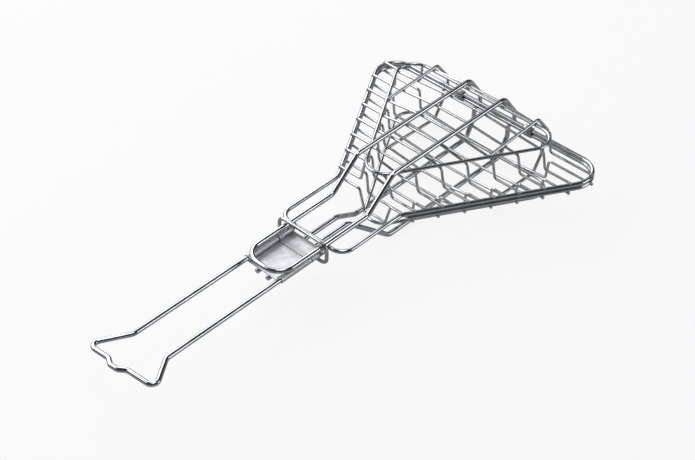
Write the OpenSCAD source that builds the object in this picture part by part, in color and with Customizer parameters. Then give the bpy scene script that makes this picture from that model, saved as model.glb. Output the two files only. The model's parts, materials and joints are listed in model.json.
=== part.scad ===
// Wire grill basket: two hinged wire trays on a long wire handle, held shut by a sliding ring.
// Sizes are millimetres. x runs from the handle to the baskets, y across, z up.
// Inside the modules, x is measured from the bar that ends the neck, and z from the upper rim's centre.
// place() then puts the origin under the middle of the whole thing, at the height it stands on.

/* [Wire sizes] */
// Diameter of the wire in both rims
rim_wire = 2.6; // [2.2:0.1:2.8]
// Diameter of the wire in the two inner rings
ring_wire = 2.0; // [1.8:0.1:2.2]
// Diameter of the thin bars that cross the trays
bar_wire = 1.6; // [1.4:0.1:1.8]
// Diameter of the thick wires that run lengthwise
long_wire = 3.0; // [2.6:0.1:3.2]
// Diameter of the two short lengthwise wires of each tray
short_wire = 2.0; // [1.8:0.1:2.4]
// Diameter of the handle wire
handle_wire = 3.0; // [2.6:0.1:3.2]
// How deep two welded wires sink into each other
weld_sink = 0.25; // [0.2:0.05:0.3]

/* [Rims] */
// From the neck end bar to the front bar
rim_len = 160.5; // [155:0.5:165]
// Half the width of the neck
neck_half = 24.6; // [23:0.1:26]
// From the neck end bar to the start of the triangle
neck_len = 47.5; // [45:0.5:50]
// Angle between a side of the triangle and the length
side_angle = 31; // [29:0.5:31]
// Centre radius of the two front corners
rim_corner = 14; // [12:0.5:16]
// Centre radius of the corners at the neck end
neck_corner = 8; // [6:0.5:10]
// Height between the centres of the two rims
rim_gap = 3.0; // [2.9:0.05:3.2]
// Where the open ends of the lower rim lie, by its point
lower_rim_start = 51.5; // [50:0.5:52]

/* [Trays] */
// Height of the ring over its own rim
tray_depth = 17; // [15:0.5:18]
// From the ring's front bar to the rim's front bar
ring_inset = 12.5; // [11.5:0.1:14.5]
// Place of the ring's rounded point
ring_point = 50; // [48:0.5:52]
// Centre radius of that point
ring_point_r = 11; // [10:0.5:12]
// Centre radius of the ring's front corners
ring_corner = 11.5; // [10:0.5:13]

/* [Thin bars] */
// How far a bar's wall leans outwards
wall_lean = 1.5; // [1:0.1:3]
// Centre radius of the bends in the thin bars
bar_bend = 2.0; // [1.8:0.1:2.4]
// How far a bar runs past the ring before it turns
bar_past_ring = 1.3; // [1.1:0.1:1.6]
// Most that a bar rises from the ring to the thick wires
bar_rise = 3.1; // [2.5:0.1:3.4]
// Slope of that rise, so that short bars rise less
rise_slope = 0.16; // [0.14:0.01:0.2]
// Half the length of the first bar's flat middle
first_bar_half = 8.3; // [8:0.1:9]
// How far the first bar's walls lean outwards
first_lean = 3.9; // [3:0.1:4.5]
// How far the last bar's middle stops short of the ring's corners
last_bar_inset = 6.0; // [5:0.1:7]
// How much less the last bar rises, under the bends of the thick wires
last_bar_drop = 0.4; // [0.2:0.1:0.6]
// How far the middles of the upper bars lie behind their ends
upper_lean_back = 1.3; // [0:0.1:1.6]
// How far the upper bars reach past the rim's centre
upper_overhang = 1.0; // [0.8:0.1:1.2]
// How far the lower bars reach past the rim's centre
lower_overhang = 2.0; // [1.6:0.1:2.4]
// First bar of the upper tray, by the point of the ring
upper_first = 54; // [54:0.5:55]
// Second bar of the upper tray
upper_second = 68.3; // [67:0.1:70]
// From the last bar behind the upper ring's front bar to that front bar
upper_behind = 13.2; // [12:0.1:14]
// First bar of the lower tray
lower_first = 53; // [53:0.5:54]
// Second bar of the lower tray
lower_second = 66; // [65:0.1:67]
// From the last bar behind the lower ring's front bar to that front bar
lower_behind = 14.0; // [12:0.1:15]
// From the ring's front bar to the last bar, in front of it
last_bar_gap = 1.9; // [1.85:0.05:2.4]

/* [Lengthwise wires] */
// Half the spacing of the two thick upper wires
long_half = 13.6; // [13:0.1:14]
// Half the spacing of the two thick lower wires in the tray
low_half = 13.3; // [13:0.1:14]
// How far the short wires' rear ends lie inside the ring's side, centre to centre
short_inset = 0.952; // [0.9:0.002:1]
// How far they reach behind the fifth bar of the lower tray
short_past = 0; // [0:0.05:0.3]
// How much lower their rear ends lie than the ring's front bar lets them
short_dip = 1.4; // [1:0.1:1.6]
// Where the upper slope starts
slope_start = 31.8; // [30:0.2:33]
// Where the upper slope ends
slope_end = 52.4; // [51:0.2:52.6]
// Round end of the long hairpin, behind the neck end bar
hairpin_end = 38.0; // [36:0.1:39]
// Centre radius of the two corners of that end
hairpin_corner = 11; // [8:0.5:12]
// Length over which the upper wires slope down at the front
front_drop = 11.55; // [11:0.05:12]
// Height of the bend below that slope, over the rim's centre
front_bend_z = 5; // [4.5:0.1:6]
// How far the upper wires' front ends reach below the rim's centre
front_end = 0.9; // [0.5:0.1:1]
// Length over which the lower wires slope up at the front
low_front_drop = 6.8; // [6:0.1:8]
// Depth of the bend above that slope, under the lower rim's centre
low_front_bend = 8; // [7:0.5:9]
// Centre radius of the front bends
front_bend_r = 4; // [3.5:0.5:4.5]
// Centre radius of the hairpin's upper bends there
front_top_r = 8; // [4:0.5:9]
// Half the spacing of the two lower legs under the plate
leg_half = 4.1; // [3.5:0.1:5]
// How far the lower legs reach behind the neck end bar
leg_back = 37.2; // [37:0.1:39]
// Where the lower legs start to part and drop
leg_split = 25.5; // [24:0.5:27]
// Where the lower legs reach the tray's floor
leg_floor = 50.6; // [50:0.2:50.8]

/* [Handle] */
// How far inside the hairpin's two sides the handle's legs lie
handle_inset = 0.8; // [0.6:0.1:1.2]
// Where the legs start to spread, behind the neck end bar
spread_start = 117.8; // [115:0.2:120]
// Where the middle of the wide end lies
handle_end = 137.4; // [134:0.2:140]
// Half the width of the wide end, to the points of its corners
end_half = 24.8; // [23:0.2:26]
// How much further out its left corner lies than its middle
end_skew = 1.9; // [0:0.1:2]
// How far the bump in the wide end stands out
end_bump = 2.8; // [2:0.1:4]
// Place of the bump, to the left of the middle
bump_at = 1.8; // [0:0.1:3]
// Half the width of the bump's flat top
bump_half = 2.6; // [2.2:0.1:3.2]
// Half the width of the bump's foot
bump_foot = 6.8; // [6.4:0.1:8]
// How far the legs' front ends lie inside the rolled edges
plate_hold = 1.4; // [1:0.1:3]

/* [Plate] */
// Front edge of the plate, behind the neck end bar
plate_front = 1.5; // [1.4:0.1:4]
// Rear edge of the plate
plate_back = 36.6; // [35:0.1:37]
// Thickness of the sheet
sheet = 0.6; // [0.5:0.05:0.7]
// Play between the rolled edges and the handle's legs, all round
roll_play = 0.03; // [0.02:0.01:0.08]
// Gap between the rolled edges and the hairpin above them
plate_gap = 0.3; // [0.25:0.05:0.4]
// How deep the lower legs sink into the plate's underside
leg_sink = 0.12; // [0.1:0.02:0.2]
// Height of the open slot between the end of a roll and the plate
roll_slot = 0.7; // [0.5:0.1:0.9]
// Place of the slits through the rolled edges, and of the crease between them
slit_at = 13.5; // [12:0.5:15]
// Width of the slits
slit_w = 0.8; // [0.6:0.1:1.2]
// Width of the crease
crease_w = 0.7; // [0.5:0.1:1]
// Depth of the crease
crease_depth = 0.25; // [0.15:0.05:0.3]

/* [Sliding ring] */
// Diameter of the sliding ring's wire
slider_wire = 2.2; // [2:0.1:2.4]
// Free space between the ring and what it runs round
slider_play = 0.4; // [0.35:0.05:0.6]
// How far outside the hairpin's sides the ring's ends lie, centre to centre
slider_side = 4.8; // [4.6:0.1:6.4]
// How far to the left the loose ring lies
slider_shift = 1.0; // [0:0.1:1.1]
// Centre radius of the ring's four corners
slider_corner = 4.6; // [4:0.1:5]
// Place of the ring when it holds the grill shut
slider_at = 5.0; // [4.5:0.1:6]

/* [Hinge clips] */
// Distance of each clip from the middle
clip_at = 27; // [24:0.5:30]
// Width of a clip
clip_w = 6; // [4:0.5:8]
// Thickness of a clip's sheet
clip_sheet = 0.8; // [0.6:0.1:1]
// Play of a clip round the lower front bar, all round
clip_play = 0.06; // [0.04:0.01:0.09]
// How far a clip is squeezed onto the upper front bar
crimp = 0.02; // [0.01:0.01:0.03]

/* [Hidden] */
BAR_COUNT = 8;
UPPER_BARS = [for (i = [1 : BAR_COUNT]) str("upper_bar_", i)];
LOWER_BARS = [for (i = [1 : BAR_COUNT]) str("lower_bar_", i)];
$fn = 32;

steel = "#c9ced1";
thick_steel = "#b8bec3";
plate_steel = "#dce1e1";

// A bend is made this much thicker than its straight runs, and they reach this far into it
bend_swell = 0.02;
bend_reach = 0.1;

// Centre radii of the bends in the thick wires
slope_bend_r = 6;
neck_bend_r = 8;
slope_radii = [0, front_bend_r, front_top_r, slope_bend_r, neck_bend_r];
rise_bend_r = 8;
spread_r = 6;
end_r = 3.5;
bump_radii = [3, 3, 3, 3];

side_slope = tan(side_angle);
ring_front = rim_len - ring_inset;
last_bar = ring_front + last_bar_gap;
upper_pitch = (ring_front - upper_behind - upper_second) / (BAR_COUNT - 3);
lower_pitch = (ring_front - lower_behind - lower_second) / (BAR_COUNT - 3);
handle_half = long_half - handle_inset;
slider_half = long_half + slider_side;

rim_front_half = neck_half + (rim_len - neck_len) * side_slope;
ring_side = ring_point + ring_point_r - ring_point_r / sin(side_angle);
ring_front_half = (ring_front - ring_side) * side_slope;
ring_cut = ring_corner * tan((90 + side_angle) / 2) * cos(side_angle);

// The short wires end over the fifth bar of the lower tray, just inside the ring's side
short_bar = lower_bar_x(5);
short_half = ring_half_at(short_bar) - short_inset;
short_start = short_bar - short_past;

// Heights over the upper rim's centre, for a tray that opens downwards
bar_flange_z = (rim_wire + bar_wire) / 2 - weld_sink;
bar_side_z = tray_depth - (ring_wire + bar_wire) / 2 + weld_sink;
long_top_z = bar_side_z + bar_rise + (bar_wire + long_wire) / 2 - weld_sink;
short_ring_z = tray_depth + (ring_wire + short_wire) / 2 - weld_sink;
short_slope = short_dip / (ring_front - short_start);
long_neck_z = (rim_wire + long_wire) / 2 - weld_sink;

// The hairpin lies on the rolled edges, and the plate between them lies on the lower legs
roll_r = handle_wire / 2 + roll_play + sheet;
handle_z = long_neck_z - long_wire / 2 - plate_gap - roll_r;
plate_low = handle_z - roll_r;
leg_z = plate_low - long_wire / 2 + leg_sink;

slider_top = long_neck_z + long_wire / 2 + slider_play;
slider_low = leg_z - long_wire / 2 - slider_play;
slider_z = (slider_top + slider_low) / 2;
slider_rise = (slider_top - slider_low + slider_wire) / 2;

front_out = rim_len + (rim_wire + long_wire) / 2 - weld_sink;
short_out = rim_len + (rim_wire + short_wire) / 2 - weld_sink;
front_in = rim_len - (rim_wire + long_wire) / 2 + weld_sink;
short_in = rim_len - (rim_wire + short_wire) / 2 + weld_sink;

x_first = end_x(bump_at + bump_half) - end_bump - handle_wire / 2;
x_last = front_out + long_wire / 2;
z_lowest = -rim_gap - long_top_z - long_wire / 2;

function end_x(y) = -handle_end - end_skew * y / end_half;
function unit(v) = v / norm(v);
function turn_of(a, b, c) = acos(unit(b - a) * unit(c - b));
function cut_of(a, b, c, r) = r * tan(turn_of(a, b, c) / 2);
function flip_y(points) = [for (p = points) [p[0], -p[1], p[2]]];
function backwards(list) = [for (i = [len(list) - 1 : -1 : 0]) list[i]];
function rim_half_at(x) = neck_half + (x - neck_len) * side_slope;
function ring_half_at(x) = (x - ring_side) * side_slope;
function bar_x(i, first, second, pitch) =
    i == 1 ? first : i == BAR_COUNT ? last_bar : second + (i - 2) * pitch;
function upper_bar_x(i) = bar_x(i, upper_first, upper_second, upper_pitch);
function lower_bar_x(i) = bar_x(i, lower_first, lower_second, lower_pitch);
function short_z(x) = short_ring_z - (ring_front - x) * short_slope;

module place()
{
    translate([-(x_first + x_last) / 2, 0, -z_lowest])
        children();
}

// Turns a tray that opens downwards into one that opens upwards, under the lower rim
module as_lower_tray()
{
    translate([0, 0, -rim_gap])
        mirror([0, 0, 1])
            children();
}

module rod(from, to, d)
{
    axis = to - from;
    translate(from)
        rotate([0, atan2(norm([axis[0], axis[1]]), axis[2]), atan2(axis[1], axis[0])])
            cylinder(h = norm(axis), d = d);
}

// One bend: part of a ring of round wire, between the straight runs a-b and b-c
module bend(a, b, c, r, d)
{
    u = unit(b - a);
    n = unit(cross(u, c - b));
    w = cross(n, u);
    lean = atan2(norm([n[0], n[1]]), n[2]);
    turn = atan2(n[1], n[0]);
    across = [cos(lean) * cos(turn), cos(lean) * sin(turn), -sin(lean)];
    along = [-sin(turn), cos(turn), 0];
    translate(b - u * cut_of(a, b, c, r) + w * r)
        rotate([0, lean, turn])
            rotate([0, 0, atan2(-w * along, -w * across)])
                rotate_extrude(angle = turn_of(a, b, c))
                    translate([r, 0])
                        circle(d = d + bend_swell);
}

// A wire with two free ends through the points, bent to the radius given for each
module wire(points, radii, d)
{
    last = len(points) - 1;
    for (i = [0 : last - 1]) {
        run = unit(points[i + 1] - points[i]);
        cut_a = i == 0 ? 0 : cut_of(points[i - 1], points[i], points[i + 1], radii[i]) - bend_reach;
        cut_b = i == last - 1 ? 0
            : cut_of(points[i], points[i + 1], points[i + 2], radii[i + 1]) - bend_reach;
        if (i > 0)
            bend(points[i - 1], points[i], points[i + 1], radii[i], d);
        rod(points[i] + run * cut_a, points[i + 1] - run * cut_b, d);
    }
}

// A closed wire loop
module wire_loop(points, radii, d)
{
    n = len(points);
    for (i = [0 : n - 1]) {
        a = points[(i + n - 1) % n];
        b = points[i];
        c = points[(i + 1) % n];
        e = points[(i + 2) % n];
        run = unit(c - b);
        bend(a, b, c, radii[i], d);
        rod(
            b + run * (cut_of(a, b, c, radii[i]) - bend_reach),
            c - run * (cut_of(b, c, e, radii[(i + 1) % n]) - bend_reach),
            d);
    }
}

// A thin bar across a tray: a flange on the rim, a wall, a slope up to the thick wires, the flat
// middle between these, and the same again
module tray_bar(x, middle_x, top_half, foot_half, end_half, rise)
{
    slope = rise > 0 ? [[middle_x, long_half, bar_side_z + rise]] : [];
    half = concat(
        [[x, end_half, bar_flange_z], [x, foot_half, bar_flange_z], [middle_x, top_half, bar_side_z]],
        slope);
    radii = concat([0, bar_bend, bar_bend], rise > 0 ? [rise_bend_r] : []);
    wire(concat(half, flip_y(backwards(half))), concat(radii, backwards(radii)), bar_wire);
}

// The bars follow the ring: they run inside it, under its wire, and turn just past it
module bar_at(i, x, overhang, lean_back)
{
    middle_x = i == BAR_COUNT ? x : x - lean_back;
    top_half = i == 1 ? first_bar_half
        : i == BAR_COUNT ? ring_half_at(ring_front - ring_cut) - last_bar_inset + bar_past_ring
        : ring_half_at(middle_x) + bar_past_ring;
    rise = i == 1 ? 0 : min(bar_rise, rise_slope * (top_half - long_half));
    tray_bar(
        x,
        middle_x,
        top_half,
        top_half + (i == 1 ? first_lean : wall_lean),
        min(rim_half_at(x), rim_half_at(rim_len) - corner_loss(x)) + overhang,
        i == BAR_COUNT ? rise - last_bar_drop : rise);
}

// How much narrower the rim is than its pointed triangle, where a corner rounds it off
function corner_loss(x) =
    let (centre_x = rim_len - rim_corner, over = x - (rim_len - rim_corner * (1 + sin(side_angle))))
    over <= 0 ? 0
        : rim_half_at(rim_len) - (rim_half_at(centre_x) - rim_corner / cos(side_angle)
            + sqrt(pow(rim_corner, 2) - pow(x - centre_x, 2)));

module tray_ring()
{
    point_corner = [ring_side, 0, tray_depth];
    front = [ring_front, ring_front_half, tray_depth];
    wire_loop(
        [point_corner, flip_y([front])[0], front],
        [ring_point_r, ring_corner, ring_corner],
        ring_wire);
}

module upper_bar(i)
{
    color(steel)
        place()
            bar_at(i, upper_bar_x(i), upper_overhang, upper_lean_back);
}

module lower_bar(i)
{
    color(steel)
        place()
            as_lower_tray()
                bar_at(i, lower_bar_x(i), lower_overhang, 0);
}

module upper_inner_ring()
{
    color(steel)
        place()
            tray_ring();
}

module lower_inner_ring()
{
    color(steel)
        place()
            as_lower_tray()
                tray_ring();
}

module upper_rim()
{
    right = [[0, -neck_half, 0], [neck_len, -neck_half, 0], [rim_len, -rim_front_half, 0]];
    color(thick_steel)
        place()
            wire_loop(
                concat(right, flip_y(backwards(right))),
                [neck_corner, rim_corner, rim_corner, rim_corner, rim_corner, neck_corner],
                rim_wire);
}

// The lower rim has no neck: it is open at the point, between the first bars
module lower_rim()
{
    right = [
        [lower_rim_start, -rim_half_at(lower_rim_start), 0],
        [rim_len, -rim_front_half, 0]];
    color(thick_steel)
        place()
            as_lower_tray()
                wire(concat(right, flip_y(backwards(right))), [0, rim_corner, rim_corner, 0], rim_wire);
}

// The thick upper wire: one hairpin whose round end the sliding ring holds down
module upper_hairpin()
{
    left = [
        [front_out, long_half, -front_end],
        [front_out, long_half, front_bend_z],
        [front_out - front_drop, long_half, long_top_z],
        [slope_end, long_half, long_top_z],
        [slope_start, long_half, long_neck_z],
        [-hairpin_end, long_half, long_neck_z]];
    color(thick_steel)
        place()
            wire(
                concat(left, flip_y(backwards(left))),
                concat(slope_radii, [hairpin_corner, hairpin_corner], backwards(slope_radii)),
                long_wire);
}

module upper_short(side)
{
    color(steel)
        place()
            wire(
                [
                    [short_start, side * short_half, short_z(short_start)],
                    [front_out - front_drop, side * short_half, short_z(front_out - front_drop)],
                    [short_out, side * short_half, front_bend_z],
                    [short_out, side * short_half, -front_end]],
                [0, front_bend_r, front_bend_r, 0],
                short_wire);
}

// The lower lengthwise wires end on the inner side of the lower front bar, clear of the hinge
module lower_leg(side)
{
    neck_z = -rim_gap - leg_z;
    color(thick_steel)
        place()
            as_lower_tray()
                wire(
                    [
                        [-leg_back, side * leg_half, neck_z],
                        [leg_split, side * leg_half, neck_z],
                        [leg_floor, side * low_half, long_top_z],
                        [front_in - low_front_drop, side * low_half, long_top_z],
                        [front_in, side * low_half, low_front_bend],
                        [front_in, side * low_half, 0]],
                    [0, slope_bend_r, slope_bend_r, front_bend_r, front_bend_r, 0],
                    long_wire);
}

module lower_short(side)
{
    color(steel)
        place()
            as_lower_tray()
                wire(
                    [
                        [short_start, side * short_half, short_z(short_start)],
                        [short_in - low_front_drop, side * short_half, short_z(short_in - low_front_drop)],
                        [short_in, side * short_half, low_front_bend],
                        [short_in, side * short_half, 0]],
                    [0, front_bend_r, front_bend_r, 0],
                    short_wire);
}

module handle()
{
    leg = [
        [-plate_front - plate_hold, handle_half, handle_z],
        [-spread_start, handle_half, handle_z]];
    left_corner = [end_x(end_half), end_half, handle_z];
    right_corner = [end_x(-end_half), -end_half, handle_z];
    bump = [
        [end_x(bump_at + bump_foot), bump_at + bump_foot, handle_z],
        [end_x(bump_at + bump_half) - end_bump, bump_at + bump_half, handle_z],
        [end_x(bump_at - bump_half) - end_bump, bump_at - bump_half, handle_z],
        [end_x(bump_at - bump_foot), bump_at - bump_foot, handle_z]];
    color(thick_steel)
        place()
            wire(
                concat(leg, [left_corner], bump, [right_corner], flip_y(backwards(leg))),
                concat([0, spread_r, end_r], bump_radii, [end_r, spread_r, 0]),
                handle_wire);
}

// Cross-section of one rolled edge: a tube round the handle leg, with a slot above the plate
module roll_section()
{
    difference() {
        circle(r = roll_r);
        circle(r = handle_wire / 2 + roll_play);
        translate([-2 * roll_r, sheet - roll_r])
            square([2 * roll_r - handle_wire / 4, roll_slot]);
    }
}

module plate_along_x(length)
{
    rotate([90, 0, 90])
        linear_extrude(height = length)
            children();
}

module base_plate()
{
    length = plate_back - plate_front;
    color(plate_steel)
        place()
            difference() {
                union() {
                    translate([-plate_back, -handle_half, plate_low])
                        cube([length, 2 * handle_half, sheet]);
                    translate([-plate_back, handle_half, handle_z])
                        plate_along_x(length)
                            roll_section();
                    translate([-plate_back, -handle_half, handle_z])
                        mirror([0, 1, 0])
                            plate_along_x(length)
                                roll_section();
                }
                for (side = [-1, 1])
                    translate([-plate_back - 1, side * handle_half, handle_z])
                        rotate([0, 90, 0])
                            cylinder(d = handle_wire + 2 * roll_play, h = length + 2);
                for (side = [-1, 1])
                    translate([-slit_at - slit_w / 2, side * handle_half - 2 * roll_r, plate_low + sheet])
                        cube([slit_w, 4 * roll_r, 2 * roll_r]);
                translate([-slit_at - crease_w / 2, roll_r - handle_half, plate_low + sheet - crease_depth])
                    cube([crease_w, 2 * (handle_half - roll_r), 1]);
            }
}

module sliding_ring()
{
    corner = slider_corner;
    color(thick_steel)
        place()
            translate([-slider_at, slider_shift, slider_z])
                wire_loop(
                    [
                        [0, -slider_half, -slider_rise],
                        [0, slider_half, -slider_rise],
                        [0, slider_half, slider_rise],
                        [0, -slider_half, slider_rise]],
                    [corner, corner, corner, corner],
                    slider_wire);
}

// A clip: a strip of sheet wrapped round both front bars, tight on the upper one
module hinge_clip(side)
{
    eye_r = rim_wire / 2 + clip_play;
    tight_r = rim_wire / 2 - crimp;
    outer_r = eye_r + clip_sheet;
    color(plate_steel)
        place()
            translate([rim_len, side * clip_at - clip_w / 2, 0])
                rotate([-90, 0, 0])
                    difference() {
                        union() {
                            cylinder(r = outer_r, h = clip_w);
                            translate([0, rim_gap, 0])
                                cylinder(r = outer_r, h = clip_w);
                            translate([-outer_r, 0, 0])
                                cube([2 * outer_r, rim_gap, clip_w]);
                        }
                        translate([0, 0, -1])
                            cylinder(r = tight_r, h = clip_w + 2);
                        translate([0, rim_gap, -1])
                            cylinder(r = eye_r, h = clip_w + 2);
                        translate([-tight_r, 0, -1])
                            cube([2 * tight_r, rim_gap, clip_w + 2]);
                    }
}

handle();
base_plate();
sliding_ring();
lower_rim();
lower_inner_ring();
lower_leg(1);  // lower_leg_left
lower_leg(-1);  // lower_leg_right
lower_short(1);  // lower_short_left
lower_short(-1);  // lower_short_right
for (i = [1 : BAR_COUNT])
    lower_bar(i);
upper_rim();
upper_inner_ring();
upper_hairpin();
upper_short(1);  // upper_short_left
upper_short(-1);  // upper_short_right
for (i = [1 : BAR_COUNT])
    upper_bar(i);
hinge_clip(1);  // hinge_clip_left
hinge_clip(-1);  // hinge_clip_right
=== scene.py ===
# %% [markdown]
# # A rice ball grill of bright wire
# The grill is a flat cage of two shallow wire trays. They are hinged at the front and held shut by a
# ring that slides on the handle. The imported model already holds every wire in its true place. This
# lesson dresses it: it presses the plate from sheet, adds the weld beads and the rounded wire tips,
# gives every piece a steel of its own, and sets up the camera and the light.

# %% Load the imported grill
import json
import math

import bpy
from mathutils import Matrix, Vector


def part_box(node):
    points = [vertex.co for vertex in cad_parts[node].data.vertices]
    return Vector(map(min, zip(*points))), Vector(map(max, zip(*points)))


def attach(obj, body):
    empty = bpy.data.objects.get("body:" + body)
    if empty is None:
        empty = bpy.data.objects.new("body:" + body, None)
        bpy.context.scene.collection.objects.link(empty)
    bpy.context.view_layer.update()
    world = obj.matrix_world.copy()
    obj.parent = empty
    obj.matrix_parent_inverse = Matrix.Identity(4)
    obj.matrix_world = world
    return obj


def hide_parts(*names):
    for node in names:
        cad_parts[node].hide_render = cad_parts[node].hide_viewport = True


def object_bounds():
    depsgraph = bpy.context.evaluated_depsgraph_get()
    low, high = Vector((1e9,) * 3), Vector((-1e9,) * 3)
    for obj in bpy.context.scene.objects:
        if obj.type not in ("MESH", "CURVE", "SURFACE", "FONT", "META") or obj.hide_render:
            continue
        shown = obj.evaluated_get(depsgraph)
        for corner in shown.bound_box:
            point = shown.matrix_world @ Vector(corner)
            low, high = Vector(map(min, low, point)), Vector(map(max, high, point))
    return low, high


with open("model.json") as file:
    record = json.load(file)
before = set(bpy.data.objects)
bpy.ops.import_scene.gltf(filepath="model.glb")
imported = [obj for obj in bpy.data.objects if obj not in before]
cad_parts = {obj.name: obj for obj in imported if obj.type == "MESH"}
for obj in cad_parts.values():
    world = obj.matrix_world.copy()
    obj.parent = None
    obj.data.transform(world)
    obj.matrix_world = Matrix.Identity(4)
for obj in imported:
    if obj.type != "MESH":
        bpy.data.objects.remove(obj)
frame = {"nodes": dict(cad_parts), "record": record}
cad_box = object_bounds()
nodes = frame["nodes"]

# %% [markdown]
# ## The camera
# A long lens looks down from behind the handle's right side. Its place and turn come from fitting
# the straight wires of the photograph, so that the render can be laid over it. The picture is 695
# by 460.

# %% Place the camera
PICTURE_W = 695
SENSOR_W = 36.0
FOCAL_PIXELS = 1540.43
CAMERA_AT = Vector((-0.465848, -0.455400, 0.591224))
AZIMUTH, ELEVATION, ROLL = (math.radians(a) for a in (-46.781, 41.153, 0.494))

back = Vector((
    math.sin(AZIMUTH) * math.cos(ELEVATION),
    -math.cos(AZIMUTH) * math.cos(ELEVATION),
    math.sin(ELEVATION)))
level = (-back).cross(Vector((0, 0, 1))).normalized()
upright = level.cross(-back)
right = math.cos(ROLL) * level + math.sin(ROLL) * upright
up = -math.sin(ROLL) * level + math.cos(ROLL) * upright

lens = bpy.data.cameras.new("camera")
lens.sensor_width = SENSOR_W
lens.lens = FOCAL_PIXELS * SENSOR_W / PICTURE_W
lens.clip_start = 0.01
camera = bpy.data.objects.new("camera", lens)
bpy.context.scene.collection.objects.link(camera)
turned = Matrix((right, up, back)).transposed().to_4x4()
camera.matrix_world = Matrix.Translation(CAMERA_AT) @ turned
bpy.context.scene.camera = camera
print("lens:", round(lens.lens, 1), "mm")

# %% [markdown]
# ## The grill's own measures
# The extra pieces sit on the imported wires, so they are placed in the same measures as these: x runs
# from the neck's end bar to the front, and z is 0 at the middle of the upper rim's wire. One helper
# turns such a place, in millimetres, into a place in the scene, where the neck's end bar lies at
# MIDDLE_X and RIM_Z. Each other name that ends in Z is a height over the upper rim, and one that
# ends in HALF is a distance from the grill's middle line.

# %% Measures of the wires
MM = 0.001
MIDDLE_X, RIM_Z = -11.2565, 25.1
RIM_WIRE, BAR_WIRE, LONG_WIRE, SHORT_WIRE, HANDLE_WIRE = 2.6, 1.6, 3.0, 2.0, 3.0
RIM_LEN, RIM_GAP = 160.5, 3.0
SLOPE = math.tan(math.radians(31))
NECK_HALF, NECK_LEN = 24.6, 47.5
RING_FRONT, RING_SIDE = 148.0, 39.64
BAR_SIDE_Z, BAR_RISE = 15.45, 3.1
LONG_HALF, LOW_HALF, SHORT_HALF = 13.6, 13.3, 39.4
BAR_FLANGE_Z = 1.85
UPPER_BARS = [54.0] + [68.3 + 13.3 * i for i in range(6)] + [149.9]
LOWER_BARS = [53.0] + [66.0 + 13.6 * i for i in range(6)] + [149.9]
UPPER_LEAN_BACK = 1.3


def at(x, y, z):
    return Vector((x + MIDDLE_X, y, z + RIM_Z)) * MM


def low(z):
    """the height in the lower tray, which mirrors the upper one under the gap between the rims"""
    return -RIM_GAP - z


print("neck end bar at", tuple(round(c, 4) for c in at(0, 0, 0)))

# %% [markdown]
# ## A small kit for the modelling
# Every piece starts from one of Blender's primitives, which is then shaped in edit mode. The
# operators act on whatever is selected, so each piece begins with nothing selected.

# %% Helpers for modelling
def start():
    if bpy.context.object and bpy.context.object.mode != "OBJECT":
        bpy.ops.object.mode_set(mode="OBJECT")
    bpy.ops.object.select_all(action="DESELECT")
    bpy.context.tool_settings.mesh_select_mode = (False, True, False)


def named(name):
    piece = bpy.context.object
    piece.name = name
    piece.data.name = name
    return piece


def pick_edges(piece, test):
    """selects, in edit mode, the edges whose two ends pass the test"""
    bpy.ops.object.mode_set(mode="OBJECT")
    mesh = piece.data
    for group in (mesh.vertices, mesh.edges, mesh.polygons):
        for item in group:
            item.select = False
    count = 0
    for edge in mesh.edges:
        a, b = (mesh.vertices[i].co / MM for i in edge.vertices)
        if test(a, b):
            edge.select = True
            for i in edge.vertices:
                mesh.vertices[i].select = True
            count += 1
    bpy.ops.object.mode_set(mode="EDIT")
    return count


def settle(piece):
    """puts the place, turn and size into the mesh, and the object at the origin"""
    if piece.mode != "OBJECT":
        bpy.ops.object.mode_set(mode="OBJECT")
    bpy.ops.object.select_all(action="DESELECT")
    piece.select_set(True)
    bpy.context.view_layer.objects.active = piece
    bpy.ops.object.transform_apply(location=True, rotation=True, scale=True)


def in_mm(lengths):
    return " x ".join(str(round(length / MM, 2)) for length in lengths) + " mm"


def thicken(piece, thickness, even=False):
    """gives a sheet its thickness, half of it on each side"""
    walls = piece.modifiers.new("sheet", "SOLIDIFY")
    walls.thickness = thickness * MM
    walls.offset = 0
    walls.use_even_offset = even


def round_edges(piece, name, width, segments, angle=30):
    """rounds the edges that turn by more than this angle, in degrees"""
    soft_edge = piece.modifiers.new(name, "BEVEL")
    soft_edge.width = width * MM
    soft_edge.segments = segments
    soft_edge.limit_method = "ANGLE"
    soft_edge.angle_limit = math.radians(angle)


def apply_modifiers(piece):
    bpy.context.view_layer.objects.active = piece
    for modifier in list(piece.modifiers):
        bpy.ops.object.modifier_apply(modifier=modifier.name)


def copies(pattern, places, name):
    """copies the pattern, each with its own mesh, to the places, and joins them as one piece"""
    start()
    made = []
    for place, turn, size in places:
        copy = bpy.data.objects.new(name, pattern.data.copy())
        bpy.context.scene.collection.objects.link(copy)
        copy.matrix_world = (
            Matrix.Translation(place) @ turn.to_4x4() @ Matrix.Diagonal((*size, 1)))
        copy.select_set(True)
        made.append(copy)
    bpy.context.view_layer.objects.active = made[0]
    bpy.ops.object.join()
    piece = named(name)
    settle(piece)
    print(name, "made of", len(places), "copies,", len(piece.data.polygons), "faces")
    return piece


def toward(direction):
    """the turn that points a pattern's own z axis in this direction"""
    return Vector(direction).to_track_quat("Z", "Y").to_matrix()

# %% [markdown]
# ## The pressed plate
# On the real grill the plate is one strip of sheet. Its long edges are rolled round the handle's two
# legs, with slits where the rolls were cut before bending and a shallow crease between them. A solid
# with its section cut out gives sharp, dead edges. Here the flat sheet is laid out and rolled up as
# the press does it: its side edges are spun round the legs, and only then it gets its thickness.

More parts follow.
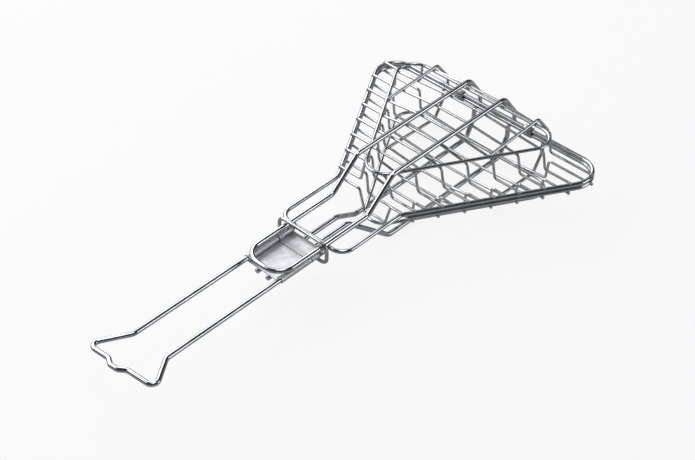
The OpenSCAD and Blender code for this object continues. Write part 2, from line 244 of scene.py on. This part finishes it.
# %% The flat sheet
PLATE_FRONT, PLATE_BACK, SHEET = 1.5, 36.6, 0.6
HANDLE_HALF, HANDLE_Z, ROLL_R = 12.8, -1.38, 2.13
ROLL_MIDDLE_R = ROLL_R - SHEET / 2
SLIT_AT, SLIT_W, SLOT = 13.5, 0.8, 0.7
CREASE_W, CREASE_DEPTH = 0.7, 0.45
LOW_STEPS, HIGH_STEPS = 5, 26

start()
bpy.ops.mesh.primitive_plane_add(
    size=MM, location=at(-(PLATE_FRONT + PLATE_BACK) / 2, 0, HANDLE_Z - ROLL_MIDDLE_R))
plate = named("pressed_plate")
plate.scale = (PLATE_BACK - PLATE_FRONT, 2 * HANDLE_HALF, 1)
settle(plate)
bpy.ops.object.mode_set(mode="EDIT")
# Bisect leaves out a cut within 0.1 mm of an earlier one, so slit and crease share their edges.
for cut in (-SLIT_W / 2, -CREASE_W / 2, 0, CREASE_W / 2, SLIT_W / 2):
    bpy.ops.mesh.select_all(action="SELECT")
    bpy.ops.mesh.bisect(plane_co=at(cut - SLIT_AT, 0, 0), plane_no=(1, 0, 0))
for side in (-1, 1):
    bpy.ops.mesh.select_all(action="SELECT")
    bpy.ops.mesh.bisect(plane_co=at(0, side * (HANDLE_HALF - ROLL_R), 0), plane_no=(0, 1, 0))
plate.update_from_editmode()
print("flat sheet:", len(plate.data.polygons), "faces after the cuts")

# %% Press the crease
CREASE_X = -SLIT_AT + MIDDLE_X
creased = pick_edges(
    plate, lambda a, b: all(abs(p.x - CREASE_X) < 0.05 and abs(p.y) < HANDLE_HALF - ROLL_R + 0.1
                            for p in (a, b)))
bpy.ops.transform.translate(value=(0, 0, -CREASE_DEPTH * MM))
print("edges pressed down for the crease:", creased)

# %% Roll the side edges
LOW_TURN = math.radians(45)
WHOLE_TURN = math.radians(270) + math.asin((ROLL_R - SHEET - SLOT) / ROLL_MIDDLE_R)


def in_slit(point):
    return abs(point.x - CREASE_X) < SLIT_W / 2 + 0.01


for side in (-1, 1):
    axis_at = at(0, side * HANDLE_HALF, HANDLE_Z)
    pick_edges(plate, lambda a, b: all(abs(p.y - side * HANDLE_HALF) < 0.01 for p in (a, b)))
    bpy.ops.mesh.spin(
        steps=LOW_STEPS, angle=-side * LOW_TURN, center=axis_at, axis=(1, 0, 0))
    end_y = side * (HANDLE_HALF + ROLL_MIDDLE_R * math.sin(LOW_TURN))
    pick_edges(plate, lambda a, b: all(abs(p.y - end_y) < 0.02 for p in (a, b))
               and not (in_slit(a) and in_slit(b)))
    bpy.ops.mesh.spin(
        steps=HIGH_STEPS, angle=-side * (WHOLE_TURN - LOW_TURN), center=axis_at, axis=(1, 0, 0))
bpy.ops.mesh.select_all(action="SELECT")
bpy.ops.mesh.remove_doubles(threshold=0.001 * MM)
bpy.ops.mesh.normals_make_consistent(inside=False)
settle(plate)
print("rolled sheet:", in_mm(plate.dimensions))

# %% Give the sheet its thickness
thicken(plate, SHEET, even=True)
round_edges(plate, "deburred edge", width=0.09, segments=2, angle=55)
apply_modifiers(plate)
bpy.ops.object.shade_smooth_by_angle(angle=math.radians(35))
# Smooth shading lets the rolls and bevels tint the flat faces beside them, so large faces lead.
flat_faces = plate.modifiers.new("flat faces stay flat", "WEIGHTED_NORMAL")
flat_faces.keep_sharp = True
apply_modifiers(plate)
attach(plate, "lower_tray")
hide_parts("base_plate")
lowest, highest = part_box("base_plate")
print("pressed plate:", len(plate.data.polygons), "faces,", in_mm(plate.dimensions))
print("packed plate:", in_mm(highest - lowest))

# %% [markdown]
# ## The hinge clips
# Each clip is a strip of sheet, wrapped round both front bars. Its two ends meet in a seam on the
# inner side, and the press pinches it a little between the bars. The strip starts as one flat piece
# in front of the bars; the two bends are spun round the bars' middles, and the last straight run
# closes the seam.

# %% Wrap the clips
CLIP_AT, CLIP_W, CLIP_SHEET, CLIP_R = 27.0, 6.0, 0.8, 1.74
CLIP_RUN, PINCH = 1.35, 0.22


def near(point, x=None, z=None):
    """whether the point lies at this x, this z, or both"""
    place = at(x or 0, 0, z or 0) / MM
    return ((x is None or abs(point.x - place.x) < 0.02)
            and (z is None or abs(point.z - place.z) < 0.02))


def hinge_strip(name, side):
    start()
    bpy.ops.mesh.primitive_plane_add(
        size=MM, location=at(RIM_LEN + CLIP_R, side * CLIP_AT, -RIM_GAP / 2),
        rotation=(0, math.radians(90), 0))
    strip = named(name)
    strip.scale = (RIM_GAP, CLIP_W, 1)
    settle(strip)
    pick_edges(strip, lambda a, b: near(a, z=0) and near(b, z=0))
    bpy.ops.mesh.spin(
        steps=12, angle=math.radians(180), center=at(RIM_LEN, side * CLIP_AT, 0), axis=(0, 1, 0))
    bpy.ops.mesh.extrude_region_move(TRANSFORM_OT_translate={"value": (0, 0, -CLIP_RUN * MM)})
    pick_edges(strip, lambda a, b: all(near(p, RIM_LEN + CLIP_R, -RIM_GAP) for p in (a, b)))
    bpy.ops.mesh.spin(
        steps=12, angle=math.radians(-180), center=at(RIM_LEN, side * CLIP_AT, -RIM_GAP),
        axis=(0, 1, 0))
    bpy.ops.mesh.extrude_region_move(TRANSFORM_OT_translate={"value": (0, 0, CLIP_RUN * MM)})
    return strip


def pinch_and_thicken(strip):
    bpy.ops.mesh.select_all(action="SELECT")
    bpy.ops.mesh.bisect(plane_co=at(0, 0, -RIM_GAP / 2), plane_no=(0, 0, 1))
    bpy.ops.mesh.select_all(action="DESELECT")
    pick_edges(strip, lambda a, b: all(near(p, RIM_LEN + CLIP_R, -RIM_GAP / 2) for p in (a, b)))
    bpy.ops.transform.translate(value=(-PINCH * MM, 0, 0))
    bpy.ops.mesh.select_all(action="SELECT")
    bpy.ops.mesh.normals_make_consistent(inside=False)
    settle(strip)
    thicken(strip, CLIP_SHEET)
    round_edges(strip, "rounded edge", width=0.14, segments=3, angle=50)
    apply_modifiers(strip)
    bpy.ops.object.shade_smooth_by_angle(angle=math.radians(35))


clips = []
for name, side in (("wrapped_clip_left", 1), ("wrapped_clip_right", -1)):
    strip = hinge_strip(name, side)
    pinch_and_thicken(strip)
    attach(strip, "upper_tray")
    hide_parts(name.replace("wrapped", "hinge"))
    clips.append(strip)
    print(name, len(strip.data.polygons), "faces,", in_mm(strip.dimensions))

# %% [markdown]
# ## The weld beads
# Where two wires cross, the real grill is spot welded. The wires sink into each other and a little
# metal is squeezed out beside them, so that a crossing looks filled and not sharp. One bead is
# modelled: a small ball, flattened as the electrodes press it and pulled out where the metal
# escapes. It is copied to every crossing, each copy turned and sized a little differently.

# %% Shape one bead
start()
bpy.ops.mesh.primitive_ico_sphere_add(subdivisions=2, radius=MM)
bead = named("bead_pattern")
pick_edges(bead, lambda a, b: min(abs(a.z), abs(b.z)) > 0.5)
bpy.ops.transform.resize(value=(1.12, 1.12, 0.72))
pick_edges(bead, lambda a, b: min(a.x, b.x) > 0.5 or max(a.y, b.y) < -0.5)
bpy.ops.transform.resize(value=(1.1, 1.1, 0.8))
settle(bead)
bpy.ops.object.shade_smooth()
print("one bead:", len(bead.data.polygons), "faces,", in_mm(bead.dimensions))

# %% Where the wires cross
LEG_HALF = {"upper": LONG_HALF, "lower": LOW_HALF}
BARS = {"upper": UPPER_BARS, "lower": LOWER_BARS}
BAR_PAST_RIM = {"upper": 1.0, "lower": 2.0}
WELD_LIFT = 0.68
BAR_FOLD_PAST_RING, STEEPEST_RISE = 1.3, 0.16
RIM_WELD_Z, RING_WELD_Z = 1.18, 17.88
LAST_BAR_FOLD, LAST_BAR_RISE = 49.94, BAR_RISE - 0.4


def ring_half(x):
    return (x - RING_SIDE) * SLOPE


def rim_half(x):
    return NECK_HALF + (x - NECK_LEN) * SLOPE


def bar_middle(tray, number):
    return BARS[tray][number - 1] - (UPPER_LEAN_BACK if tray == "upper" and number < 8 else 0)


def bar_height(tray, number, y):
    """height of a bar's middle line over its rim, between the ring and the thick wires"""
    top_half = ring_half(bar_middle(tray, number)) + BAR_FOLD_PAST_RING
    rise = min(BAR_RISE, STEEPEST_RISE * (top_half - LONG_HALF))
    if number == 8:
        top_half, rise = LAST_BAR_FOLD, LAST_BAR_RISE
    if number == 1:
        rise = 0
    return BAR_SIDE_Z + rise * max(0, min(1, (top_half - y) / (top_half - LONG_HALF)))


def crossings(tray):
    """(x, y, height, half sizes) of each weld, for the side where y is positive"""
    found = []
    for number in range(1, 9):
        x = bar_middle(tray, number)
        if number < 8:
            found.append((x, ring_half(x), BAR_SIDE_Z + WELD_LIFT, (0.98, 1.25, 0.42)))
        if number > 3:
            y = LEG_HALF[tray]
            found.append((x, y, bar_height(tray, number, y) + WELD_LIFT, (1.0, 1.35, 0.45)))
        if number in (5, 6, 7):
            y = SHORT_HALF
            found.append((x, y, bar_height(tray, number, y) + WELD_LIFT, (0.98, 1.15, 0.4)))
        rim_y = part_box(f"{tray}_bar_{number}")[1][1] / MM - BAR_PAST_RIM[tray]
        found.append((BARS[tray][number - 1], rim_y, RIM_WELD_Z, (1.05, 1.25, 0.42)))
    found.append((RING_FRONT, SHORT_HALF, RING_WELD_Z, (1.25, 1.1, 0.42)))
    return found


print("crossings on one side:", {tray: len(crossings(tray)) for tray in ("upper", "lower")})

# %% Lay the beads
def bead_places(tray):
    places = []
    for number, (x, y, z, sizes) in enumerate(crossings(tray) + end_welds(tray)):
        for side in (-1, 1):
            height = z if tray == "upper" else low(z)
            wobble = 1 + 0.09 * math.sin(3.1 * number + side)
            turn = Matrix.Rotation(0.35 * math.sin(5.3 * number + 2 * side), 3, "Z")
            places.append((at(x, side * y, height), turn, tuple(s * wobble for s in sizes)))
    return places


def end_welds(tray):
    """where the lengthwise wires meet the rims"""
    if tray == "upper":
        outside = RIM_LEN + 1.2
        return [
            (outside, LONG_HALF, 0.1, (0.5, 1.6, 1.05)),
            (outside, SHORT_HALF, 0.1, (0.45, 1.25, 1.0)),
            (0.0, LONG_HALF, 1.2, (1.35, 1.5, 0.45))]
    inside = RIM_LEN - 1.2
    return [
        (inside, LOW_HALF, 0.0, (0.5, 1.6, 1.05)),
        (inside, SHORT_HALF, 0.0, (0.45, 1.25, 1.0))]


beads = []
for tray in ("upper", "lower"):
    laid = copies(bead, bead_places(tray), f"{tray}_weld_beads")
    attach(laid, f"{tray}_tray")
    beads.append(laid)
bpy.data.objects.remove(bead)

# %% [markdown]
# ## The rounded wire ends
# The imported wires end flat, and the real ones don't. The thick ends are tumbled into domes, and the
# thin bars end in small knobs, where the heat of the last weld has drawn the metal together. Both
# start as a short cylinder, whose outer edges are bevelled round. They are copied onto the free
# ends and sized for each wire. A dome is a hair wider than its wire and a knob clearly wider, so
# both cover the sharp edge.

# %% Shape a dome and a knob
def wire_end(name, radius, foot, top, rounding):
    """an end for a wire of radius 1 mm that stops at height 0"""
    start()
    bpy.ops.mesh.primitive_cylinder_add(
        vertices=20, radius=radius * MM, depth=(top - foot) * MM,
        location=(0, 0, (top + foot) / 2 * MM))
    piece = named(name)
    settle(piece)
    pick_edges(piece, lambda a, b: min(a.z, b.z) > top - 0.01 or max(a.z, b.z) < foot + 0.01)
    bpy.ops.mesh.bevel(offset=rounding * MM, segments=5, affect="EDGES")
    settle(piece)
    bpy.ops.object.shade_smooth_by_angle(angle=math.radians(40))
    highest = max(v.co.z for v in piece.data.vertices) / MM
    print(name, len(piece.data.polygons), "faces, top at", round(highest, 2))
    return piece


dome = wire_end("dome_pattern", radius=1.02, foot=-1.2, top=0.56, rounding=0.52)
knob = wire_end("knob_pattern", radius=1.28, foot=-1.5, top=0.03, rounding=0.42)

# %% Where the bars end
KNOB_REACH = cad_box[1][1] - 0.03 * MM  # the widest bars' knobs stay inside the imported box


def bar_ends(tray):
    """both ends of each thin bar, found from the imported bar's own box"""
    ends = []
    for number in range(1, 9):
        lowest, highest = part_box(f"{tray}_bar_{number}")
        z = BAR_FLANGE_Z if tray == "upper" else low(BAR_FLANGE_Z)
        for side, y in ((-1, lowest[1]), (1, highest[1])):
            place = at(BARS[tray][number - 1], 0, z)
            place.y = max(-KNOB_REACH, min(KNOB_REACH, y))
            ends.append((place, toward((0, side, 0)), BAR_WIRE / 2))
    return ends


# %% Where the long wires end
UPPER_TIP_Z, UPPER_LONG_TIP, UPPER_SHORT_TIP = -0.9, 163.02, 162.54
LOWER_LONG_TIP, LOWER_SHORT_TIP = 157.95, 158.45
SHORT_START, SHORT_START_Z, SHORT_FALL = 106.8, 17.35, 0.034
LEG_START, LEG_START_HALF, LEG_START_Z = -37.2, 4.1, -4.89
HANDLE_START, RIM_START = -2.9, 51.5


def long_ends(tray):
    """ends of the lengthwise wires, the handle and the open rim"""
    ends = []
    for side in (-1, 1):
        short_y = side * SHORT_HALF
        if tray == "upper":
            ends += [
                (at(UPPER_LONG_TIP, side * LONG_HALF, UPPER_TIP_Z), toward((0, 0, -1)),
                 LONG_WIRE / 2),
                (at(UPPER_SHORT_TIP, short_y, UPPER_TIP_Z), toward((0, 0, -1)),
                 SHORT_WIRE / 2),
                (at(SHORT_START, short_y, SHORT_START_Z), toward((-1, 0, -SHORT_FALL)),
                 SHORT_WIRE / 2)]
        else:
            ends += [
                (at(LOWER_LONG_TIP, side * LOW_HALF, low(0)), toward((0, 0, 1)),
                 LONG_WIRE / 2),
                (at(LOWER_SHORT_TIP, short_y, low(0)), toward((0, 0, 1)), SHORT_WIRE / 2),
                (at(SHORT_START, short_y, low(SHORT_START_Z)), toward((-1, 0, SHORT_FALL)),
                 SHORT_WIRE / 2),
                (at(LEG_START, side * LEG_START_HALF, LEG_START_Z), toward((-1, 0, 0)),
                 LONG_WIRE / 2),
                (at(HANDLE_START, side * HANDLE_HALF, HANDLE_Z), toward((1, 0, 0)),
                 HANDLE_WIRE / 2),
                (at(RIM_START, side * rim_half(RIM_START), low(0)),
                 toward((-1, -side * SLOPE, 0)), RIM_WIRE / 2)]
    return ends


# %% Round the free ends
rounded = []
for tray in ("upper", "lower"):
    for pattern, ends, name in (
            (knob, bar_ends(tray), "bar_knobs"), (dome, long_ends(tray), "wire_domes")):
        places = [(place, turn, (radius,) * 3) for place, turn, radius in ends]
        piece = copies(pattern, places, f"{tray}_{name}")
        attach(piece, f"{tray}_tray")
        rounded.append(piece)
for pattern in (dome, knob):
    bpy.data.objects.remove(pattern)

# %% [markdown]
# ## The seam of the sliding ring
# The ring is bent from one piece of wire and butt welded. The weld leaves a low collar with a raised
# line of flash round it. It lies near the middle of the lower run, where the thumb never rubs. A
# short cylinder is cut across three times, and its middle cut is scaled up into the flash.

# %% Weld the sliding ring
SEAM_X, SEAM_Y, SEAM_Z = -5.0, 5.0, -7.89
COLLAR_R, COLLAR_LEN, FLASH_W, FLASH_RISE = 1.13, 2.6, 0.56, 1.12

start()
bpy.ops.mesh.primitive_cylinder_add(
    vertices=28, radius=COLLAR_R * MM, depth=COLLAR_LEN * MM,
    location=at(SEAM_X, SEAM_Y, SEAM_Z), rotation=(math.radians(90), 0, 0))
seam = named("ring_seam")
settle(seam)
bpy.ops.object.mode_set(mode="EDIT")
for cut in (-FLASH_W / 2, 0, FLASH_W / 2):
    bpy.ops.mesh.select_all(action="SELECT")
    bpy.ops.mesh.bisect(plane_co=at(0, SEAM_Y + cut, 0), plane_no=(0, 1, 0))
pick_edges(seam, lambda a, b: all(abs(p.y - SEAM_Y) < 0.05 for p in (a, b)))
bpy.ops.transform.resize(
    value=(FLASH_RISE, 1, FLASH_RISE), center_override=at(SEAM_X, SEAM_Y, SEAM_Z))
settle(seam)
round_edges(seam, "worn edge", width=0.08, segments=2)
apply_modifiers(seam)
bpy.ops.object.shade_smooth_by_angle(angle=math.radians(40))
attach(seam, "lock_ring")
print("ring seam:", len(seam.data.polygons), "faces")

# %% [markdown]
# ## A small kit for materials
# Bright wire is never one flat tone. Each finish starts from the shader's own metal. Noise in object
# coordinates then moves its colour, its roughness and its surface a little, at the scale of the wire.

# %% Helpers for node materials
def new_material(name):
    material = bpy.data.materials.new(name)
    material.use_nodes = True
    tree = material.node_tree
    return material, tree, tree.nodes["Principled BSDF"]


def noise(tree, scale, detail=3.0, stretch=(1, 1, 1)):
    place = tree.nodes.new("ShaderNodeTexCoord")
    mapping = tree.nodes.new("ShaderNodeMapping")
    mapping.inputs["Scale"].default_value = stretch
    texture = tree.nodes.new("ShaderNodeTexNoise")
    texture.inputs["Scale"].default_value = scale
    texture.inputs["Detail"].default_value = detail
    tree.links.new(place.outputs["Object"], mapping.inputs["Vector"])
    tree.links.new(mapping.outputs["Vector"], texture.inputs["Vector"])
    return texture.outputs["Fac"]


def ramp(tree, source, stops):
    node = tree.nodes.new("ShaderNodeValToRGB")
    while len(node.color_ramp.elements) < len(stops):
        node.color_ramp.elements.new(0.5)
    for element, (position, colour) in zip(node.color_ramp.elements, stops):
        element.position = position
        element.color = (*colour, 1)
    tree.links.new(source, node.inputs["Fac"])
    return node.outputs["Color"]


def spread(tree, source, low_value, high_value):
    node = tree.nodes.new("ShaderNodeMapRange")
    node.inputs["From Min"].default_value = 0.3
    node.inputs["From Max"].default_value = 0.7
    node.inputs["To Min"].default_value = low_value
    node.inputs["To Max"].default_value = high_value
    tree.links.new(source, node.inputs["Value"])
    return node.outputs["Result"]


def blend(tree, mask, base, colour):
    """the base colour, with this colour laid over it where the mask is 1"""
    node = tree.nodes.new("ShaderNodeMix")
    node.data_type = "RGBA"
    node.inputs["B"].default_value = (*colour, 1)
    tree.links.new(mask, node.inputs["Factor"])
    tree.links.new(base, node.inputs["A"])
    return node.outputs["Result"]


def bump(tree, source, shader, strength, depth):
    node = tree.nodes.new("ShaderNodeBump")
    node.inputs["Strength"].default_value = strength
    node.inputs["Distance"].default_value = depth
    tree.links.new(source, node.inputs["Height"])
    tree.links.new(node.outputs["Normal"], shader.inputs["Normal"])


# %% [markdown]
# ## The steels
# The wires are bright drawn steel: a clean metal tone, low roughness and faint waves from drawing
# and bending, which break the long highlights. The sliding ring is rubbed duller by the hand. The
# beads took the heat of welding, so they are darker, rougher and a little straw coloured.

# %% Mix a bright steel
def bright_steel(name, tones, rough, waves):
    """tones: dark, middle and light colour; rough: lowest and highest roughness"""
    material, tree, shader = new_material(name)
    shader.inputs["Metallic"].default_value = 1.0
    stops = list(zip((0.34, 0.5, 0.66), tones))
    tree.links.new(ramp(tree, noise(tree, 120, 4), stops), shader.inputs["Base Color"])
    tree.links.new(spread(tree, noise(tree, 420, 3), *rough), shader.inputs["Roughness"])
    bump(tree, noise(tree, 520, 2), shader, waves, 0.1 * MM)
    return material


thick_steel = bright_steel(
    "thick_polished_wire",
    [(0.50, 0.53, 0.58), (0.59, 0.61, 0.65), (0.68, 0.69, 0.72)],
    (0.07, 0.14), 0.14)
thin_steel = bright_steel(
    "thin_polished_wire",
    [(0.54, 0.56, 0.59), (0.62, 0.64, 0.66), (0.70, 0.71, 0.72)],
    (0.09, 0.17), 0.06)
ring_steel = bright_steel(
    "rubbed_ring_wire",
    [(0.40, 0.41, 0.43), (0.52, 0.53, 0.54), (0.62, 0.62, 0.62)],
    (0.14, 0.28), 0.2)
weld_steel = bright_steel(
    "weld_heat_steel",
    [(0.17, 0.15, 0.14), (0.28, 0.27, 0.27), (0.42, 0.42, 0.41)],
    (0.24, 0.42), 0.6)
clip_steel = bright_steel(
    "hinge_clip_sheet",
    [(0.44, 0.45, 0.46), (0.54, 0.55, 0.56), (0.62, 0.62, 0.62)],
    (0.16, 0.28), 0.12)
print("steels:", [m.name for m in (thick_steel, thin_steel, ring_steel, weld_steel, clip_steel)])

# %% [markdown]
# ## The plate's finish
# The plate is rolled sheet, so it is satin and not mirror bright. Fine scratches run along it, from
# the ring that slides over it, and a soft cloudiness lies under them. The scratches are noise that
# is stretched along the plate and narrowed to its peaks. The crease is painted dark along its
# length as shade; a mask on the plate's own length lays this painted shade there.

# %% Satin sheet
plate_steel, tree, shader = new_material("satin_plate")
shader.inputs["Metallic"].default_value = 1.0
clouds = ramp(tree, noise(tree, 95, 4), [(0.3, (0.66, 0.69, 0.72)), (0.7, (0.77, 0.79, 0.81))])
scratches = ramp(tree, noise(tree, 2300, 2, (0.05, 1, 1)), [(0.6, (0, 0, 0)), (0.72, (1, 1, 1))])
scratched = blend(tree, scratches, clouds, (0.64, 0.66, 0.68))
tree.links.new(spread(tree, noise(tree, 240, 3), 0.42, 0.56), shader.inputs["Roughness"])
bump(tree, noise(tree, 2300, 2, (0.05, 1, 1)), shader, 0.1, 0.05 * MM)
print("satin sheet:", len(tree.nodes), "nodes")

# %% Painted shade in the crease
# How much of the crease's width the painted shade covers, on each side of its middle.
CREASE_SHADE_SHARE = 0.42
place = tree.nodes.new("ShaderNodeTexCoord")
axes = tree.nodes.new("ShaderNodeSeparateXYZ")
tree.links.new(place.outputs["Object"], axes.inputs["Vector"])
in_crease = tree.nodes.new("ShaderNodeMath")
in_crease.operation = "COMPARE"
in_crease.inputs[1].default_value = CREASE_X * MM
in_crease.inputs[2].default_value = CREASE_SHADE_SHARE * CREASE_W * MM
tree.links.new(axes.outputs["X"], in_crease.inputs[0])
# The dark colour laid over the crease is painted shade, not the plate's own colour.
crease_shaded = blend(tree, in_crease.outputs["Value"], scratched, (0.15, 0.15, 0.16))
tree.links.new(crease_shaded, shader.inputs["Base Color"])
print("painted crease shade:", round(2 * CREASE_SHADE_SHARE * CREASE_W, 2), "mm wide at x", round(CREASE_X, 2))

# %% Put the steels on
STEEL_OF_SLOT = {
    "thick_wire": thick_steel, "thin_wire": thin_steel, "ring_wire": ring_steel,
    "plate": plate_steel, "clip": clip_steel}


def finish_in(piece, steel):
    piece.data.materials.clear()
    piece.data.materials.append(steel)


for part in frame["record"]["subparts"]:
    finish_in(nodes[part["node"]], STEEL_OF_SLOT[part["material_slot"]])
for piece in beads:
    finish_in(piece, weld_steel)
for piece in rounded:
    finish_in(piece, thin_steel if "knobs" in piece.name else thick_steel)
for piece in clips:
    finish_in(piece, clip_steel)
finish_in(plate, plate_steel)
finish_in(seam, ring_steel)

# %% [markdown]
# ## The floor
# The photograph shows the grill cut out on white. The floor is a plain pale one that the camera sees
# nearly white and that keeps the soft shadow. Polished wire mirrors whatever lies round it, so the
# reflections see a share of that white too, and otherwise a darker floor, which keeps the wires from
# turning as pale as the ground they stand on.

# %% A pale floor
start()
bpy.ops.mesh.primitive_plane_add(size=6, location=(0, 0, -0.3 * MM))
floor = named("floor")
floor_paint, tree, shader = new_material("floor_paint")
shader.inputs["Roughness"].default_value = 0.9
floor.data.materials.append(floor_paint)
rays = tree.nodes.new("ShaderNodeLightPath")
paint = ramp(
    tree, rays.outputs["Is Camera Ray"], [(0, (0.25, 0.25, 0.26)), (1, (0.95, 0.95, 0.95))])
tree.links.new(paint, shader.inputs["Base Color"])


def white_share(tree, shares):
    """how much of the plain white each kind of ray sees"""
    rays = tree.nodes.new("ShaderNodeLightPath")
    total = None
    for ray, part in shares.items():
        weight = tree.nodes.new("ShaderNodeMath")
        weight.operation = "MULTIPLY_ADD"
        weight.inputs[1].default_value = part
        weight.inputs[2].default_value = 0
        tree.links.new(rays.outputs[ray], weight.inputs[0])
        if total:
            tree.links.new(total, weight.inputs[2])
        total = weight.outputs["Value"]
    return total


def mix_in_white(tree, own, white, shares, output):
    """mixes the share of white into the ground's or the room's own shader"""
    white.inputs["Color"].default_value = (1, 1, 1, 1)
    mix = tree.nodes.new("ShaderNodeMixShader")
    tree.links.new(white_share(tree, shares), mix.inputs["Fac"])
    tree.links.new(own, mix.inputs[1])
    tree.links.new(white.outputs[0], mix.inputs[2])
    tree.links.new(mix.outputs["Shader"], tree.nodes[output].inputs["Surface"])
    print("white seen:", shares)


mix_in_white(
    tree, shader.outputs["BSDF"], tree.nodes.new("ShaderNodeEmission"),
    {"Is Camera Ray": 0.86, "Is Glossy Ray": 0.21, "Is Transmission Ray": 0.86},
    "Material Output")

# %% [markdown]
# ## The room and the lamps
# Polished wire is drawn by what it mirrors: soft boxes give the long white highlights, and the dim
# room between them gives the dark cores. The large boxes hang behind and over the grill. A low one
# on the right draws a thin light line along each long wire, and two on the left light the bars
# across.

# %% The room
world = bpy.data.worlds.new("studio")
world.use_nodes = True
bpy.context.scene.world = world
tree = world.node_tree
room = tree.nodes["Background"]
room.inputs["Color"].default_value = (0.80, 0.90, 1.0, 1)
room.inputs["Strength"].default_value = 0.035
mix_in_white(
    tree, room.outputs["Background"], tree.nodes.new("ShaderNodeBackground"),
    {"Is Camera Ray": 1.0, "Is Glossy Ray": 0.03, "Is Transmission Ray": 1.0},
    "World Output")


# %% The soft boxes
def soft_box(name, place, size, brightness):
    """brightness: what the box looks like in a mirror, where 1 is white"""
    lamp = bpy.data.lights.new(name, "AREA")
    lamp.shape = "RECTANGLE"
    lamp.size, lamp.size_y = size
    lamp.energy = brightness * math.pi * size[0] * size[1]
    box = bpy.data.objects.new(name, lamp)
    bpy.context.scene.collection.objects.link(box)
    box.location = place
    box.rotation_euler = (-Vector(place)).to_track_quat("-Z", "Y").to_euler()
    print(name, "gives", round(lamp.energy, 1), "W")


soft_box("back_light", (0.0, 1.1, 0.75), (2.0, 1.1), 2.3)
soft_box("left_light", (-0.92, 0.6, 0.8), (0.5, 0.7), 0.35)
soft_box("bar_light", (-0.5, 0.66, 0.88), (0.42, 0.6), 1.6)
soft_box("far_light", (0.85, 0.75, 1.0), (0.7, 0.5), 0.9)
soft_box("roof_light", (0, -0.1, 1.4), (0.5, 0.5), 4.0)
soft_box("right_light", (0.6, -0.92, 0.36), (0.6, 0.44), 2.4)
bpy.context.scene.view_settings.view_transform = "Standard"

# %% [markdown]
# ## Measure and finish
# The box of the imported grill is printed, in millimetres. The dressed grill may not
# outgrow the imported one.

# %% Write the sizes and finish
print("packed box:", [[round(v / MM, 2) for v in c] for c in cad_box])
